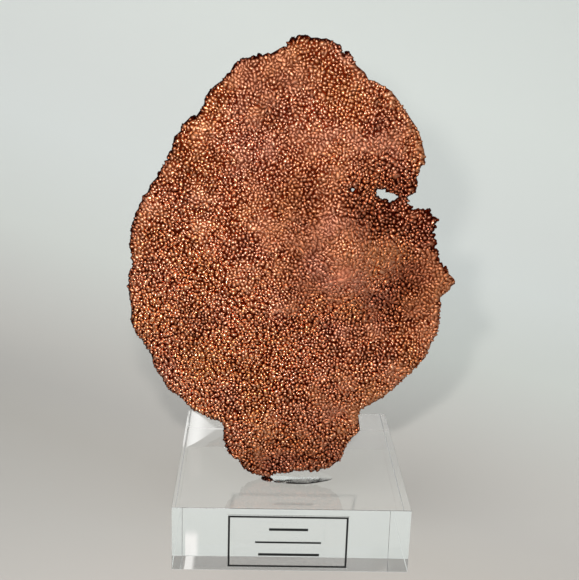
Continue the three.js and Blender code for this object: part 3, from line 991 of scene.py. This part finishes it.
world = bpy.data.worlds.new("studio")
bpy.context.scene.world = world
world.use_nodes = True
background = world.node_tree.nodes["Background"]
background.inputs["Color"].default_value = (0.95, 0.98, 1.0, 1)
background.inputs["Strength"].default_value = 0.60


def area_light(name, at, look, size, power, colour=(1, 1, 1), shape="RECTANGLE", size_y=None):
    data = bpy.data.lights.new(name, "AREA")
    data.shape = shape
    data.size = size * MM
    if size_y:
        data.size_y = size_y * MM
    data.energy = power
    data.color = colour
    ob = bpy.data.objects.new(name, data)
    bpy.context.scene.collection.objects.link(ob)
    ob.location = Vector(at) * MM
    ob.rotation_euler = (Vector(look) - Vector(at)).to_track_quat("-Z", "Y").to_euler()
    ob.visible_camera = False
    return ob


area_light("key", (-20, -208, 152), (0, -12, 70), 11, 0.385, (1.0, 0.97, 0.93), "DISK")
area_light("soft_top", (-250, -250, 620), (0, 60, 40), 500, 1.3, (0.97, 0.99, 1.0), size_y=400)


def gathered_light():
    """Painted light: glowing patches, seen only through the block, for the light it gathers on the table under its back
    left corner.
    """
    nx, ny = 14, 34
    verts, power = [], []
    for j in range(ny):
        y = 15.0 + 34.0 * j / (ny - 1)
        reach = -15.5 if y > 30 else -29.6 + 9.0 * max(0.0, (y - 17.5) / 12.5) ** 0.8
        for i in range(nx):
            t = i / (nx - 1)
            verts.append((-29.7 + (reach + 29.7) * t, y, -0.10))
            band = 0.72 + 0.28 * math.cos((verts[-1][0] + 27.5) * 0.75)
            power.append(band * (1 - smooth(np.array((t - 0.82) / 0.18))) * smooth(np.array((y - 15.5) / 3.0)))
    faces = [
        (j * nx + i, j * nx + i + 1, (j + 1) * nx + i + 1, (j + 1) * nx + i)
        for j in range(ny - 1)
        for i in range(nx - 1)
    ]
    # and a glowing card far behind the same corner, painted light seen only through the block
    first, cols, rows = len(verts), 12, 12
    for j in range(rows):
        for i in range(cols):
            t, u = i / (cols - 1), j / (rows - 1)
            verts.append((-34.2 + 5.4 * t, 100.0, 49.0 + 14.0 * u))
            power.append(0.80 * (1 - smooth(np.array((t - 0.62) / 0.38))) * smooth(np.array(u / 0.3)))
    # whose painted light also lies on the table behind it
    for j in range(rows):
        for i in range(cols):
            t, u = i / (cols - 1), j / (rows - 1)
            verts.append((-31.0 + 3.4 * t, 50.2 + 8.6 * u, -0.10))
            power.append(0.80 * (1 - smooth(np.array((t - 0.55) / 0.45))))
    for start in (first, first + cols * rows):
        faces += [
            (start + j * cols + i, start + j * cols + i + 1, start + (j + 1) * cols + i + 1, start + (j + 1) * cols + i)
            for j in range(rows - 1)
            for i in range(cols - 1)
        ]
    ob = mesh_object("gathered_light", verts, faces, attributes={"power": power})
    m = bpy.data.materials.new("gathered_light")
    m.use_nodes = True
    nt = m.node_tree
    nt.nodes.clear()
    out = nt.nodes.new("ShaderNodeOutputMaterial")
    see = nt.nodes.new("ShaderNodeBsdfTransparent")
    glow = nt.nodes.new("ShaderNodeEmission")
    glow.inputs["Color"].default_value = (1.0, 0.985, 0.95, 1)
    glow.inputs["Strength"].default_value = 1.0
    both = nt.nodes.new("ShaderNodeMixShader")
    nt.links.new(node(nt, "ShaderNodeAttribute", attribute_name="power").outputs["Fac"], both.inputs[0])
    nt.links.new(see.outputs[0], both.inputs[1])
    nt.links.new(glow.outputs[0], both.inputs[2])
    nt.links.new(both.outputs[0], out.inputs["Surface"])
    ob.data.materials.append(m)
    ob.visible_camera = ob.visible_glossy = ob.visible_diffuse = ob.visible_shadow = False
    return ob


gathered_light()

# ----------------------------------------------------------------------- camera
camera_data = bpy.data.cameras.new("camera")
camera = bpy.data.objects.new("camera", camera_data)
bpy.context.scene.collection.objects.link(camera)
bpy.context.scene.camera = camera
camera_data.sensor_width = 36.0
camera_data.lens = 64.22
camera_data.clip_start, camera_data.clip_end = 0.01, 20.0
yaw, pitch, roll = (math.radians(v) for v in (-1.881, 16.876, 1.779))
forward = Vector((-math.sin(yaw) * math.cos(pitch), math.cos(yaw) * math.cos(pitch), -math.sin(pitch)))
right = Vector((math.cos(yaw), math.sin(yaw), 0.0))
up = right.cross(forward)
right, up = math.cos(roll) * right + math.sin(roll) * up, -math.sin(roll) * right + math.cos(roll) * up
turned = Matrix((right, up, -forward)).transposed().to_4x4()
camera.matrix_world = Matrix.Translation(Vector((-9.91, -260.80, 144.67)) * MM) @ turned

scene = bpy.context.scene
scene.view_settings.view_transform = "Standard"
scene.view_settings.look = "None"
scene.view_settings.exposure = 0.0
